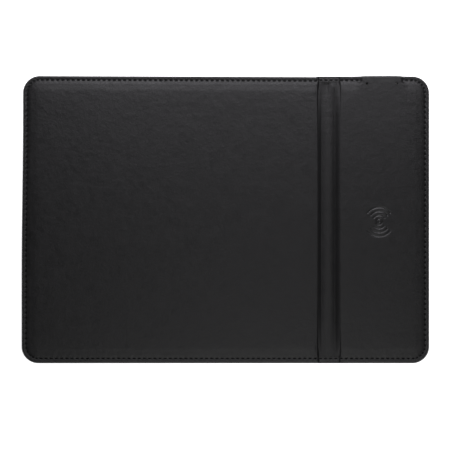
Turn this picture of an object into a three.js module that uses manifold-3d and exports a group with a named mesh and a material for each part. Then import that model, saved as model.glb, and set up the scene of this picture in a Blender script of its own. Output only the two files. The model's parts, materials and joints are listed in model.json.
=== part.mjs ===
// Folding desk mat with a wireless charging panel: two stitched, leather-covered panels joined by a
// creased spine, like a book cover. Millimetres, +Z up. The origin is at the centre of the underside,
// +X points to the charging side and +Y to the edge with the USB socket.
import * as THREE from 'three';
import { mergeVertices } from 'three/addons/utils/BufferGeometryUtils.js';
import Module from 'manifold-3d';

const wasm = await Module();
wasm.setup();

// Overall size
const WIDTH = 315;
const DEPTH = 221.5;
const THICKNESS = 6;
const CORNER_RADIUS = 13;
const CORNER_STEPS = 8;
const BACK = DEPTH / 2;

// Clearances: GLUE between bonded layers, GAP between pieces that are only placed together
const GLUE = 0.05;
const GAP = 0.3;

// Layers, bottom to top
const SHEET = 0.8;
const SEAM_TOP = 3;
const CORE_BOTTOM = SHEET + GLUE;
const CORE_TOP = 4.95;
const COVER_UNDERSIDE = CORE_TOP + GLUE;
const FOAM_THICKNESS = 1.2;

// The padded edge of the cover, as pairs of inset from the rim and height
const SEAT_OUTER = 1.8;
const SEAT_INNER = 5.2;
const EDGE_PROFILE = [
  [0, SHEET + GLUE],
  [0, 1.5],
  [0.5, 2.3],
  [SEAT_OUTER, SEAM_TOP],
  [SEAT_INNER, SEAM_TOP],
  [6.6, 4.2],
  [8.2, 5.2],
  [10.5, 5.75],
  [13, THICKNESS],
];
const CORE_INSET = 9;

// Spine: two hinge lines, with a flexible gutter over each and a stiffened ridge between them
const LEFT_HINGE_X = 73.5;
const RIGHT_HINGE_X = 86.1;
const SPINE_X = (LEFT_HINGE_X + RIGHT_HINGE_X) / 2;
const GUTTER_HALF = 1.7;
const GUTTER_SIDE_GAP = 0.2;
const GUTTER_TOP = 1.6;
const LEFT_WALL_LEAN = 0.6;
const RIGHT_WALL_LEAN = 1.4;
const RIDGE_TOP = 2.8;
const RIDGE_SHOULDER = 2.5;
const RIDGE_SHOULDER_OFFSET = 2.4;
const STIFFENER_WIDTH = 7;
const STIFFENER_LENGTH = 200;
const STIFFENER_THICKNESS = 0.75;
const CORE_TO_WALL = 2.6;

// Seam: a lockstitch line, its needle thread on top and its bobbin thread in a groove below
const STITCH_INSET = 3.5;
const THREAD_WIDTH = 0.5;
const THREAD_HEIGHT = 0.3;
const SEAM_END_GAP = 2.3;
const BOBBIN_BOTTOM = 0.1;
const GROOVE_TOP = 0.5;

// Coil assembly
const COIL_X = 118.6;
const COIL_Y = -1.6;
const COIL_TURNS = 10;
const COIL_INNER_RADIUS = 10.75;
const COIL_OUTER_RADIUS = 21.6;
const COIL_STEPS_PER_TURN = 28;
const WIRE_SIZE = 0.9;
const FERRITE_SIZE = 47;
const FERRITE_THICKNESS = 0.6;
const FERRITE_BOTTOM = 2.5;
const FERRITE_RADIUS = 4;
const COIL_BOTTOM = FERRITE_BOTTOM + FERRITE_THICKNESS + GLUE;
const COIL_MIDDLE = COIL_BOTTOM + WIRE_SIZE / 2;
const LEAD_RADIUS = 0.3;
const LEAD_OVER_COIL_Z = 4.55;
const LEAD_BEND = 1.2;
const OUTER_LEAD_X = 116.6;
const INNER_LEAD_X = 120;
const CHANNEL_HALF = 4;
const CHANNEL_X = 118.3;
const CHANNEL_FLOOR = 2.9;
const SOLDER_SETBACK = 4;

// Electronics housing at the back edge
const HOUSING_X = 120.7;
const HOUSING_WIDTH = 30;
const HOUSING_LEFT = HOUSING_X - HOUSING_WIDTH / 2;
const HOUSING_RIGHT = HOUSING_X + HOUSING_WIDTH / 2;
const HOUSING_FRONT = 79.8;
const HOUSING_RECESS = 0.4;
const HOUSING_BACK = BACK - HOUSING_RECESS;
const HOUSING_WALL = 0.9;
const HOUSING_FLOOR = 0.55;
const HOUSING_RIM = 4.45;
const LID_BOTTOM = HOUSING_RIM + GLUE;
const BOARD_BOTTOM = 1.9;
const BOARD_TOP = 2.7;
const BOARD_EDGE_GAP = 0.5;
const BOARD_LEFT = HOUSING_LEFT + HOUSING_WALL + BOARD_EDGE_GAP;
const BOARD_RIGHT = HOUSING_RIGHT - HOUSING_WALL - BOARD_EDGE_GAP;
const BOARD_FRONT = HOUSING_FRONT + HOUSING_WALL + BOARD_EDGE_GAP;
const BOARD_BACK = HOUSING_BACK - HOUSING_WALL - BOARD_EDGE_GAP;
const STANDOFF_RADIUS = 1.2;
const STANDOFF_SIDE_INSET = 2.2;
const STANDOFF_FRONT_INSET = 2.5;
const STANDOFF_BACK_INSET = 7;
const STANDOFF_ROOT = 0.2;
const LEAD_SLOT_HALF = CHANNEL_HALF - 0.5;
const LED_OFFSET = 11.6;
const LED_Y = BACK - 5.7;
const LED_HOLE_RADIUS = 0.9;
const LIGHT_PIPE_RADIUS = 0.6;
const LIGHT_PIPE_TOP = 5.9;
const SOLDER_GAP = 0.05;

// The cover's rise over the housing: how far its foot, shoulder and top edge stand out sideways
const HUMP_FOOT = 2;
const HUMP_SHOULDER = 1.3;
const HUMP_SHOULDER_RISE = 2;
const HUMP_EDGE = 0.3;

// USB receptacle, micro-B outline
const USB_BOTTOM = 1.7;
const USB_TOP = 4.15;
const USB_HALF_WIDTH = 3.75;
const USB_CHAMFER = 0.85;
const USB_WALL = 0.3;
const USB_RECESS = 0.35;
const USB_BACK = HOUSING_BACK - USB_RECESS;
const USB_LENGTH = 5.6;
const TONGUE_HALF = 1.85;
const TONGUE_THICKNESS = 0.55;
const TONGUE_TOP = USB_TOP - USB_WALL - 0.35;
const TONGUE_BOTTOM = TONGUE_TOP - TONGUE_THICKNESS;
const TONGUE_SETBACK = 0.7;
const TONGUE_ROOT_HALF = 2.4;
const TONGUE_ROOT_LENGTH = 0.6;
const TONGUE_ROOT_DROP = 0.5;
const USB_CONTACTS = 5;
const USB_CONTACT_PITCH = 0.65;
const USB_CONTACT_WIDTH = 0.36;
const USB_CONTACT_THICKNESS = 0.12;
const USB_CONTACT_SETBACK = 1;

// Parts soldered on the circuit board: X from the housing's middle, Y, then width, length and height
const CHIPS = [
  { name: 'controller_ic', x: 0, y: 95, size: [5, 5, 0.9] },
  { name: 'bridge_mosfet_1', x: -8, y: 92, size: [3.3, 3.3, 0.9] },
  { name: 'bridge_mosfet_2', x: -8, y: 97.5, size: [3.3, 3.3, 0.9] },
  { name: 'current_sense_resistor', x: -8, y: 87, size: [3.2, 1.6, 0.6] },
];
const CAPACITOR_SIZE = [3.2, 1.6, 1.4];
const RESONANT_CAPACITOR_X = 8.5;
const RESONANT_CAPACITOR_Y = [88, 91, 94, 97];
const INPUT_CAPACITOR_X = [-5, 5];
const INPUT_CAPACITOR_Y = 101.2;
const LED_SIZE = [1, 1.6, 0.5];

// Where the coil's leads are soldered
const SOLDER_Z = BOARD_TOP + SOLDER_GAP + LEAD_RADIUS;
const SOLDER_Y = HOUSING_FRONT + SOLDER_SETBACK;

const FINISHES = {
  leather: { color: 0x2c2c2f, roughness: 0.6, metalness: 0 },
  underside: { color: 0x232325, roughness: 0.9, metalness: 0 },
  foam: { color: 0x55565a, roughness: 1, metalness: 0 },
  fibreboard: { color: 0x8a6a48, roughness: 0.9, metalness: 0 },
  thread: { color: 0x1c1c1e, roughness: 0.8, metalness: 0 },
  housing: { color: 0x161617, roughness: 0.5, metalness: 0 },
  circuit_board: { color: 0x1e5a32, roughness: 0.5, metalness: 0 },
  copper: { color: 0xb06a3c, roughness: 0.35, metalness: 0.9 },
  ferrite: { color: 0x3a3a3c, roughness: 0.7, metalness: 0.2 },
  steel: { color: 0xb9bbbd, roughness: 0.3, metalness: 1 },
  contact: { color: 0xd0a850, roughness: 0.3, metalness: 1 },
  chip: { color: 0x1a1a1b, roughness: 0.6, metalness: 0 },
  ceramic_chip: { color: 0xa98a66, roughness: 0.5, metalness: 0 },
  light_pipe: { color: 0x202226, roughness: 0.2, metalness: 0 },
  led: { color: 0xe8e4d0, roughness: 0.4, metalness: 0 },
};

const product = new THREE.Group();

function solidOf(geometry) {
  const bare = geometry.clone();
  bare.deleteAttribute('normal');
  bare.deleteAttribute('uv');
  const merged = mergeVertices(bare, 1e-5);
  return new wasm.Manifold(
    new wasm.Mesh({
      numProp: 3,
      vertProperties: new Float32Array(merged.attributes.position.array),
      triVerts: new Uint32Array(merged.index.array),
    }),
  );
}

function geometryOf(solid) {
  const mesh = solid.getMesh();
  const geometry = new THREE.BufferGeometry();
  geometry.setAttribute('position', new THREE.BufferAttribute(mesh.vertProperties, 3));
  geometry.setIndex(new THREE.BufferAttribute(mesh.triVerts, 1));
  geometry.computeVertexNormals();
  return geometry;
}

function addPiece(name, finish, shape) {
  const geometry = shape.isBufferGeometry ? shape : geometryOf(shape);
  const mesh = new THREE.Mesh(geometry, new THREE.MeshStandardMaterial(FINISHES[finish]));
  mesh.name = name;
  product.add(mesh);
}

// ---- Basic shapes ----

function block(left, right, front, back, bottom, top) {
  const geometry = new THREE.BoxGeometry(right - left, back - front, top - bottom);
  geometry.translate((left + right) / 2, (front + back) / 2, (bottom + top) / 2);
  return solidOf(geometry);
}

function component(x, y, [width, length, height]) {
  const bottom = BOARD_TOP + SOLDER_GAP;
  return block(x - width / 2, x + width / 2, y - length / 2, y + length / 2, bottom, bottom + height);
}

function prism(shape, bottom, top) {
  const options = { depth: top - bottom, bevelEnabled: false, curveSegments: CORNER_STEPS };
  const geometry = new THREE.ExtrudeGeometry(shape, options);
  geometry.translate(0, 0, bottom);
  return solidOf(geometry);
}

// A section drawn in X and Z and carried along Y
function profilePrism(shape, front, back) {
  const geometry = new THREE.ExtrudeGeometry(shape, { depth: back - front, bevelEnabled: false });
  geometry.rotateX(Math.PI / 2);
  geometry.translate(0, back, 0);
  return solidOf(geometry);
}

function disc(x, y, radius, bottom, top) {
  const geometry = new THREE.CylinderGeometry(radius, radius, top - bottom, 16);
  geometry.rotateX(Math.PI / 2);
  geometry.translate(x, y, (bottom + top) / 2);
  return solidOf(geometry);
}

function polygon(points) {
  return new THREE.Shape(points.map(([x, y]) => new THREE.Vector2(x, y)));
}

// Points of the mat's outline, moved inwards by an inset, anticlockwise from above
function matOutline(inset) {
  const radius = Math.max(CORNER_RADIUS - inset, 1);
  const halfWidth = WIDTH / 2 - inset - radius;
  const halfDepth = DEPTH / 2 - inset - radius;
  const corners = [[1, -1], [1, 1], [-1, 1], [-1, -1]];
  const points = [];
  corners.forEach(([sideX, sideY], corner) => {
    for (let step = 0; step <= CORNER_STEPS; step += 1) {
      const angle = (Math.PI / 2) * (corner - 1 + step / CORNER_STEPS);
      const x = sideX * halfWidth + radius * Math.cos(angle);
      const y = sideY * halfDepth + radius * Math.sin(angle);
      points.push([x, y]);
    }
  });
  return points;
}

function roundedSquare(x, y, size, radius) {
  const half = size / 2;
  const shape = new THREE.Shape();
  shape.moveTo(x + half, y - half + radius);
  shape.absarc(x + half - radius, y + half - radius, radius, 0, Math.PI / 2);
  shape.absarc(x - half + radius, y + half - radius, radius, Math.PI / 2, Math.PI);
  shape.absarc(x - half + radius, y - half + radius, radius, Math.PI, 1.5 * Math.PI);
  shape.absarc(x + half - radius, y - half + radius, radius, 1.5 * Math.PI, 2 * Math.PI);
  return shape;
}

// A closed body through rings of equally many points, convex at both ends
function loft(rings) {
  const count = rings[0].length;
  const positions = rings.flat(2);
  const indices = [];
  for (let level = 0; level < rings.length - 1; level += 1) {
    for (let i = 0; i < count; i += 1) {
      const a = level * count + i;
      const b = level * count + ((i + 1) % count);
      indices.push(a, b, b + count);
      indices.push(a, b + count, a + count);
    }
  }
  const last = (rings.length - 1) * count;
  for (let i = 1; i < count - 1; i += 1) {
    indices.push(0, i + 1, i);
    indices.push(last, last + i, last + i + 1);
  }
  const geometry = new THREE.BufferGeometry();
  geometry.setAttribute('position', new THREE.Float32BufferAttribute(positions, 3));
  geometry.setIndex(indices);
  return solidOf(geometry);
}

function tube(points, radius, steps) {
  const section = new THREE.Shape();
  section.absarc(0, 0, radius, 0, 2 * Math.PI);
  const path = new THREE.CatmullRomCurve3(points.map((p) => new THREE.Vector3(...p)));
  return new THREE.ExtrudeGeometry(section, { steps, curveSegments: 4, extrudePath: path });
}

// ---- Regions of the mat ----

const MOUSE_REGION = {
  left: -WIDTH / 2 - 1,
  right: LEFT_HINGE_X - GUTTER_HALF,
  leanLeft: 0,
  leanRight: LEFT_WALL_LEAN,
  coreLeft: -WIDTH / 2 - 1,
  coreRight: LEFT_HINGE_X - GUTTER_HALF - CORE_TO_WALL,
};
const CHARGING_REGION = {
  left: RIGHT_HINGE_X + GUTTER_HALF,
  right: WIDTH / 2 + 1,
  leanLeft: RIGHT_WALL_LEAN,
  leanRight: 0,
  coreLeft: RIGHT_HINGE_X + GUTTER_HALF + CORE_TO_WALL,
  coreRight: WIDTH / 2 + 1,
};

// Everything on one panel's side of its leaning gutter wall
function panelEnvelope(region) {
  const height = THICKNESS + 1;
  const section = polygon([
    [region.left, 0],
    [region.right, 0],
    [region.right - (region.leanRight * height) / THICKNESS, height],
    [region.left + (region.leanLeft * height) / THICKNESS, height],
  ]);
  return profilePrism(section, -DEPTH, DEPTH);
}

function panelSlice(region, bottom, top) {
  return block(region.left, region.right, -DEPTH, DEPTH, bottom, top);
}

function coreLayer(region, growth, bottom, top) {
  const outline = prism(polygon(matOutline(CORE_INSET - growth)), bottom, top);
  const left = region.coreLeft - growth;
  const right = region.coreRight + growth;
  return outline.intersect(block(left, right, -DEPTH, DEPTH, bottom - 1, top + 1));
}

function paddedForm() {
  return loft(EDGE_PROFILE.map(([inset, z]) => matOutline(inset).map(([x, y]) => [x, y, z])));
}

function panelCover(region, form) {
  const cavity = coreLayer(region, GAP, 0, COVER_UNDERSIDE);
  return form.intersect(panelEnvelope(region)).subtract(cavity);
}

// A band that follows the rim at the stitch line
function seamBand(halfWidth, bottom, top) {
  const outer = prism(polygon(matOutline(STITCH_INSET - halfWidth)), bottom, top);
  const inner = prism(polygon(matOutline(STITCH_INSET + halfWidth)), bottom - 1, top + 1);
  return outer.subtract(inner);
}

// The stretches of seam, each as the block of space that holds it
const SEAM_STRETCHES = [
  {
    name: 'mouse',
    space: [-WIDTH, MOUSE_REGION.right - LEFT_WALL_LEAN, -DEPTH, DEPTH],
  },
  {
    name: 'charging_side',
    space: [HOUSING_RIGHT + SEAM_END_GAP, WIDTH, -DEPTH, DEPTH],
  },
  {
    name: 'charging_front',
    space: [CHARGING_REGION.left + RIGHT_WALL_LEAN, HOUSING_RIGHT + SEAM_END_GAP - GAP, -DEPTH, 0],
  },
  {
    name: 'charging_back',
    space: [CHARGING_REGION.left + RIGHT_WALL_LEAN, HOUSING_LEFT - SEAM_END_GAP, 0, DEPTH],
  },
];

function seamStretch(space, halfWidth, bottom, top) {
  const band = seamBand(halfWidth, bottom, top);
  return band.intersect(block(...space, bottom - 1, top + 1));
}

function cutBobbinGrooves(sheet) {
  const groove = seamBand(THREAD_WIDTH / 2 + GAP, -1, GROOVE_TOP);
  return sheet.subtract(groove);
}

function bottomSheet(region) {
  const outline = prism(polygon(matOutline(0)), 0, SHEET);
  return cutBobbinGrooves(outline.intersect(panelSlice(region, -1, SHEET + 1)));
}

function addSeams() {
  for (const { name, space } of SEAM_STRETCHES) {
    const needleBottom = SEAM_TOP + GLUE;
    const needle = seamStretch(space, THREAD_WIDTH / 2, needleBottom, needleBottom + THREAD_HEIGHT);
    const bobbinTop = BOBBIN_BOTTOM + THREAD_HEIGHT;
    const bobbin = seamStretch(space, THREAD_WIDTH / 2, BOBBIN_BOTTOM, bobbinTop);
    addPiece(`${name}_needle_thread`, 'thread', needle);
    addPiece(`${name}_bobbin_thread`, 'thread', bobbin);
  }
}

// ---- Mouse panel ----

function addMousePanel(form) {
  const foamBottom = CORE_TOP - FOAM_THICKNESS;
  addPiece('mouse_bottom_cover', 'underside', bottomSheet(MOUSE_REGION));
  addPiece('mouse_board', 'fibreboard', coreLayer(MOUSE_REGION, 0, CORE_BOTTOM, foamBottom - GLUE));
  addPiece('mouse_foam_layer', 'foam', coreLayer(MOUSE_REGION, 0, foamBottom, CORE_TOP));
  addPiece('mouse_top_cover', 'leather', panelCover(MOUSE_REGION, form));
}

// ---- Spine ----

const SPINE_LEFT = LEFT_HINGE_X + GUTTER_HALF;
const SPINE_RIGHT = RIGHT_HINGE_X - GUTTER_HALF;

// The upper line of the ridge, from right to left, raised by a lift
function ridgeLine(lift) {
  return [
    [SPINE_RIGHT, GUTTER_TOP + lift],
    [SPINE_X + RIDGE_SHOULDER_OFFSET, RIDGE_SHOULDER + lift],
    [SPINE_X, RIDGE_TOP + lift],
    [SPINE_X - RIDGE_SHOULDER_OFFSET, RIDGE_SHOULDER + lift],
    [SPINE_LEFT, GUTTER_TOP + lift],
  ];
}

function spineCover() {
  const section = polygon([[SPINE_LEFT, CORE_BOTTOM], [SPINE_RIGHT, CORE_BOTTOM], ...ridgeLine(0)]);
  const halfWidth = STIFFENER_WIDTH / 2 + GAP;
  const halfLength = STIFFENER_LENGTH / 2 + GAP;
  const top = CORE_BOTTOM + STIFFENER_THICKNESS + GLUE;
  const cavity = block(SPINE_X - halfWidth, SPINE_X + halfWidth, -halfLength, halfLength, 0, top);
  return profilePrism(section, -BACK, BACK).subtract(cavity);
}

function spineThread(side) {
  const lower = ridgeLine(GLUE);
  const upper = ridgeLine(GLUE + THREAD_HEIGHT).reverse();
  const middle = side * (BACK - STITCH_INSET);
  const section = polygon([...lower, ...upper]);
  return profilePrism(section, middle - THREAD_WIDTH / 2, middle + THREAD_WIDTH / 2);
}

function spineBobbinThread(side) {
  const middle = side * (BACK - STITCH_INSET);
  const front = middle - THREAD_WIDTH / 2;
  const back = middle + THREAD_WIDTH / 2;
  return block(SPINE_LEFT, SPINE_RIGHT, front, back, BOBBIN_BOTTOM, BOBBIN_BOTTOM + THREAD_HEIGHT);
}

function gutterStrip(hingeX) {
  const half = GUTTER_HALF - GUTTER_SIDE_GAP;
  return block(hingeX - half, hingeX + half, -BACK, BACK, 0, GUTTER_TOP);
}

function addSpine() {
  const halfWidth = STIFFENER_WIDTH / 2;
  const halfLength = STIFFENER_LENGTH / 2;
  const stiffenerTop = CORE_BOTTOM + STIFFENER_THICKNESS;
  const left = SPINE_X - halfWidth;
  const right = SPINE_X + halfWidth;
  const sheet = block(SPINE_LEFT, SPINE_RIGHT, -BACK, BACK, 0, SHEET);
  const stiffener = block(left, right, -halfLength, halfLength, CORE_BOTTOM, stiffenerTop);
  addPiece('spine_bottom_cover', 'underside', cutBobbinGrooves(sheet));
  addPiece('spine_stiffener', 'fibreboard', stiffener);
  addPiece('spine_top_cover', 'leather', spineCover());
  addPiece('spine_front_needle_thread', 'thread', spineThread(-1));
  addPiece('spine_back_needle_thread', 'thread', spineThread(1));
  addPiece('spine_front_bobbin_thread', 'thread', spineBobbinThread(-1));
  addPiece('spine_back_bobbin_thread', 'thread', spineBobbinThread(1));
  addPiece('left_gutter_leather', 'leather', gutterStrip(LEFT_HINGE_X));
  addPiece('right_gutter_leather', 'leather', gutterStrip(RIGHT_HINGE_X));
}

// ---- Charging panel ----

// The cover stays at full height over the housing, out to the back edge
function housingHump() {
  const shoulderTop = SEAM_TOP + HUMP_SHOULDER_RISE;
  const edgeTop = THICKNESS - HUMP_EDGE;
  const section = polygon([
    [HOUSING_LEFT - HUMP_FOOT, CORE_BOTTOM],
    [HOUSING_RIGHT + HUMP_FOOT, CORE_BOTTOM],
    [HOUSING_RIGHT + HUMP_FOOT, SEAM_TOP],
    [HOUSING_RIGHT + HUMP_SHOULDER, shoulderTop],
    [HOUSING_RIGHT + HUMP_EDGE, edgeTop],
    [HOUSING_RIGHT - HUMP_SHOULDER, THICKNESS],
    [HOUSING_LEFT + HUMP_SHOULDER, THICKNESS],
    [HOUSING_LEFT - HUMP_EDGE, edgeTop],
    [HOUSING_LEFT - HUMP_SHOULDER, shoulderTop],
    [HOUSING_LEFT - HUMP_FOOT, SEAM_TOP],
  ]);
  return profilePrism(section, BACK - EDGE_PROFILE.at(-1)[0], BACK);
}

function housingSpace(growth, bottom, top) {
  return block(
    HOUSING_LEFT - growth,
    HOUSING_RIGHT + growth,
    HOUSING_FRONT - growth,
    BACK + 1,
    bottom,
    top,
  );
}

function chargingCover(form) {
  let cover = panelCover(CHARGING_REGION, form.add(housingHump()));
  cover = cover.subtract(housingSpace(GAP, 0, COVER_UNDERSIDE));
  for (const side of [-1, 1]) {
    const hole = disc(HOUSING_X + side * LED_OFFSET, LED_Y, LED_HOLE_RADIUS, 0, THICKNESS + 1);
    cover = cover.subtract(hole);
  }
  return cover;
}

function chargingBoard() {
  const pocket = prism(
    roundedSquare(COIL_X, COIL_Y, FERRITE_SIZE + 2 * GAP, FERRITE_RADIUS + GAP),
    FERRITE_BOTTOM - GLUE,
    THICKNESS,
  );
  const channelLeft = CHANNEL_X - CHANNEL_HALF;
  const channelRight = CHANNEL_X + CHANNEL_HALF;
  const channel = block(channelLeft, channelRight, COIL_Y, HOUSING_FRONT, CHANNEL_FLOOR, THICKNESS);
  return coreLayer(CHARGING_REGION, 0, CORE_BOTTOM, CORE_TOP)
    .subtract(pocket)
    .subtract(channel)
    .subtract(housingSpace(GAP, 0, THICKNESS));
}

function addChargingPanel(form) {
  addPiece('charging_bottom_cover', 'underside', bottomSheet(CHARGING_REGION));
  addPiece('charging_board', 'fibreboard', chargingBoard());
  addPiece('charging_top_cover', 'leather', chargingCover(form));
}

// ---- Coil ----

class Spiral extends THREE.Curve {
  getPoint(t) {
    const angle = Math.PI / 2 + t * COIL_TURNS * 2 * Math.PI;
    const radius = THREE.MathUtils.lerp(COIL_INNER_RADIUS, COIL_OUTER_RADIUS, t);
    const x = COIL_X + radius * Math.cos(angle);
    const y = COIL_Y + radius * Math.sin(angle);
    return new THREE.Vector3(x, y, COIL_MIDDLE);
  }
}

function transmitterCoil() {
  const half = WIRE_SIZE / 2;
  const section = polygon([[-half, -half], [half, -half], [half, half], [-half, half]]);
  const steps = COIL_TURNS * COIL_STEPS_PER_TURN;
  return new THREE.ExtrudeGeometry(section, { steps, extrudePath: new Spiral() });
}

// From the coil's outer end, flat through the wire channel and down to the circuit board
function outerLead() {
  const startY = COIL_Y + COIL_OUTER_RADIUS;
  return tube(
    [
      [COIL_X - 0.4, startY, COIL_MIDDLE],
      [COIL_X - 1.4, startY + 0.5, COIL_MIDDLE],
      [OUTER_LEAD_X, startY + 2.5, COIL_MIDDLE],
      [OUTER_LEAD_X, startY + 20, COIL_MIDDLE],
      [OUTER_LEAD_X, HOUSING_FRONT - 12, COIL_MIDDLE],
      [OUTER_LEAD_X, HOUSING_FRONT - 1, COIL_MIDDLE],
      [OUTER_LEAD_X, SOLDER_Y - LEAD_BEND, SOLDER_Z],
      [OUTER_LEAD_X, SOLDER_Y, SOLDER_Z],
    ],
    LEAD_RADIUS,
    40,
  );
}

// From the coil's inner end, up over the turns, then through the wire channel to the circuit board
function innerLead() {
  const startY = COIL_Y + COIL_INNER_RADIUS;
  return tube(
    [
      [COIL_X + 0.4, startY - 0.1, COIL_MIDDLE],
      [COIL_X + 1.1, startY - 0.7, COIL_MIDDLE + 0.2],
      [INNER_LEAD_X, startY - 0.2, LEAD_OVER_COIL_Z],
      [INNER_LEAD_X, startY + 6, LEAD_OVER_COIL_Z],
      [INNER_LEAD_X, startY + 14, LEAD_OVER_COIL_Z],
      [INNER_LEAD_X, startY + 40, 4],
      [INNER_LEAD_X, HOUSING_FRONT - 1, COIL_MIDDLE],
      [INNER_LEAD_X, SOLDER_Y - LEAD_BEND, SOLDER_Z],
      [INNER_LEAD_X, SOLDER_Y, SOLDER_Z],
    ],
    LEAD_RADIUS,
    48,
  );
}

function addCoil() {
  const ferrite = roundedSquare(COIL_X, COIL_Y, FERRITE_SIZE, FERRITE_RADIUS);
  const ferriteTop = FERRITE_BOTTOM + FERRITE_THICKNESS;
  addPiece('ferrite_shield', 'ferrite', prism(ferrite, FERRITE_BOTTOM, ferriteTop));
  addPiece('transmitter_coil', 'copper', transmitterCoil());
  addPiece('coil_outer_lead', 'copper', outerLead());
  addPiece('coil_inner_lead', 'copper', innerLead());
}

// ---- Electronics housing ----

function usbOutline(growth) {
  const half = USB_HALF_WIDTH + growth;
  const bottom = USB_BOTTOM - growth;
  return polygon([
    [HOUSING_X - half + USB_CHAMFER, bottom],
    [HOUSING_X + half - USB_CHAMFER, bottom],
    [HOUSING_X + half, bottom + USB_CHAMFER],
    [HOUSING_X + half, USB_TOP + growth],
    [HOUSING_X - half, USB_TOP + growth],
    [HOUSING_X - half, bottom + USB_CHAMFER],
  ]);
}

function housingTray() {
  const floor = CORE_BOTTOM + HOUSING_FLOOR;
  const outside = block(
    HOUSING_LEFT,
    HOUSING_RIGHT,
    HOUSING_FRONT,
    HOUSING_BACK,
    CORE_BOTTOM,
    HOUSING_RIM,
  );
  const inside = block(
    HOUSING_LEFT + HOUSING_WALL,
    HOUSING_RIGHT - HOUSING_WALL,
    HOUSING_FRONT + HOUSING_WALL,
    HOUSING_BACK - HOUSING_WALL,
    floor,
    THICKNESS,
  );
  const leadSlot = block(
    CHANNEL_X - LEAD_SLOT_HALF,
    CHANNEL_X + LEAD_SLOT_HALF,
    HOUSING_FRONT - 1,
    HOUSING_FRONT + HOUSING_WALL + 1,
    CHANNEL_FLOOR,
    THICKNESS,
  );
  const socketHole = profilePrism(usbOutline(GAP), HOUSING_BACK - 2 * HOUSING_WALL, BACK + 1);
  let tray = outside.subtract(inside).subtract(leadSlot).subtract(socketHole);
  for (const x of [BOARD_LEFT + STANDOFF_SIDE_INSET, BOARD_RIGHT - STANDOFF_SIDE_INSET]) {
    for (const y of [BOARD_FRONT + STANDOFF_FRONT_INSET, BOARD_BACK - STANDOFF_BACK_INSET]) {
      tray = tray.add(disc(x, y, STANDOFF_RADIUS, floor - STANDOFF_ROOT, BOARD_BOTTOM - GLUE));
    }
  }
  return tray;
}

function housingLid() {
  let lid = block(HOUSING_LEFT, HOUSING_RIGHT, HOUSING_FRONT, HOUSING_BACK, LID_BOTTOM, CORE_TOP);
  for (const side of [-1, 1]) {
    lid = lid.subtract(disc(HOUSING_X + side * LED_OFFSET, LED_Y, LED_HOLE_RADIUS, 0, THICKNESS));
  }
  return lid;
}

function circuitBoard() {
  const board = block(BOARD_LEFT, BOARD_RIGHT, BOARD_FRONT, BOARD_BACK, BOARD_BOTTOM, BOARD_TOP);
  const half = USB_HALF_WIDTH + GAP;
  const notchFront = USB_BACK - USB_LENGTH - GAP;
  return board.subtract(block(HOUSING_X - half, HOUSING_X + half, notchFront, BACK, 0, THICKNESS));
}

function addUsbReceptacle() {
  const front = USB_BACK - USB_LENGTH;
  const outside = profilePrism(usbOutline(0), front, USB_BACK);
  const inside = profilePrism(usbOutline(-USB_WALL), front + USB_WALL, USB_BACK + 1);
  addPiece('usb_shell', 'steel', outside.subtract(inside));

  const rootFront = front + USB_WALL + GLUE;
  const rootBack = rootFront + TONGUE_ROOT_LENGTH;
  const root = block(
    HOUSING_X - TONGUE_ROOT_HALF,
    HOUSING_X + TONGUE_ROOT_HALF,
    rootFront,
    rootBack,
    TONGUE_BOTTOM - TONGUE_ROOT_DROP,
    TONGUE_TOP,
  );
  const blade = block(
    HOUSING_X - TONGUE_HALF,
    HOUSING_X + TONGUE_HALF,
    rootFront,
    USB_BACK - TONGUE_SETBACK,
    TONGUE_BOTTOM,
    TONGUE_TOP,
  );
  addPiece('usb_tongue', 'housing', root.add(blade));

  for (let i = 0; i < USB_CONTACTS; i += 1) {
    const x = HOUSING_X + (i - (USB_CONTACTS - 1) / 2) * USB_CONTACT_PITCH;
    const left = x - USB_CONTACT_WIDTH / 2;
    const back = USB_BACK - USB_CONTACT_SETBACK;
    const top = TONGUE_BOTTOM - GLUE;
    const bottom = top - USB_CONTACT_THICKNESS;
    const contact = block(left, left + USB_CONTACT_WIDTH, rootBack + GLUE, back, bottom, top);
    addPiece(`usb_contact_${i + 1}`, 'contact', contact);
  }
}

function addBoardComponents() {
  for (const { name, x, y, size } of CHIPS) {
    addPiece(name, 'chip', component(HOUSING_X + x, y, size));
  }
  RESONANT_CAPACITOR_Y.forEach((y, i) => {
    const capacitor = component(HOUSING_X + RESONANT_CAPACITOR_X, y, CAPACITOR_SIZE);
    addPiece(`resonant_capacitor_${i + 1}`, 'ceramic_chip', capacitor);
  });
  INPUT_CAPACITOR_X.forEach((x, i) => {
    const capacitor = component(HOUSING_X + x, INPUT_CAPACITOR_Y, CAPACITOR_SIZE);
    addPiece(`input_capacitor_${i + 1}`, 'ceramic_chip', capacitor);
  });
}

function addIndicators() {
  const pipeBottom = BOARD_TOP + SOLDER_GAP + LED_SIZE[2] + GLUE;
  [-1, 1].forEach((side, i) => {
    const x = HOUSING_X + side * LED_OFFSET;
    addPiece(`indicator_led_${i + 1}`, 'led', component(x, LED_Y, LED_SIZE));
    const pipe = disc(x, LED_Y, LIGHT_PIPE_RADIUS, pipeBottom, LIGHT_PIPE_TOP);
    addPiece(`light_pipe_${i + 1}`, 'light_pipe', pipe);
  });
}

function addElectronics() {
  addPiece('port_housing_tray', 'housing', housingTray());
  addPiece('port_housing_lid', 'housing', housingLid());
  addPiece('circuit_board', 'circuit_board', circuitBoard());
  addUsbReceptacle();
  addBoardComponents();
  addIndicators();
}

const form = paddedForm();
addMousePanel(form);
addSpine();
addChargingPanel(form);
addSeams();
addCoil();
addElectronics();

export default product;
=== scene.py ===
# The looks of a folding leather desk mat with a wireless charging panel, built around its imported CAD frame.
# Shapes are worked out in millimetres in the frame's own axes and turned into metres when a mesh is made.
import json
import math

import bpy
import numpy as np
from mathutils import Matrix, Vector
from mathutils.geometry import delaunay_2d_cdt


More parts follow.
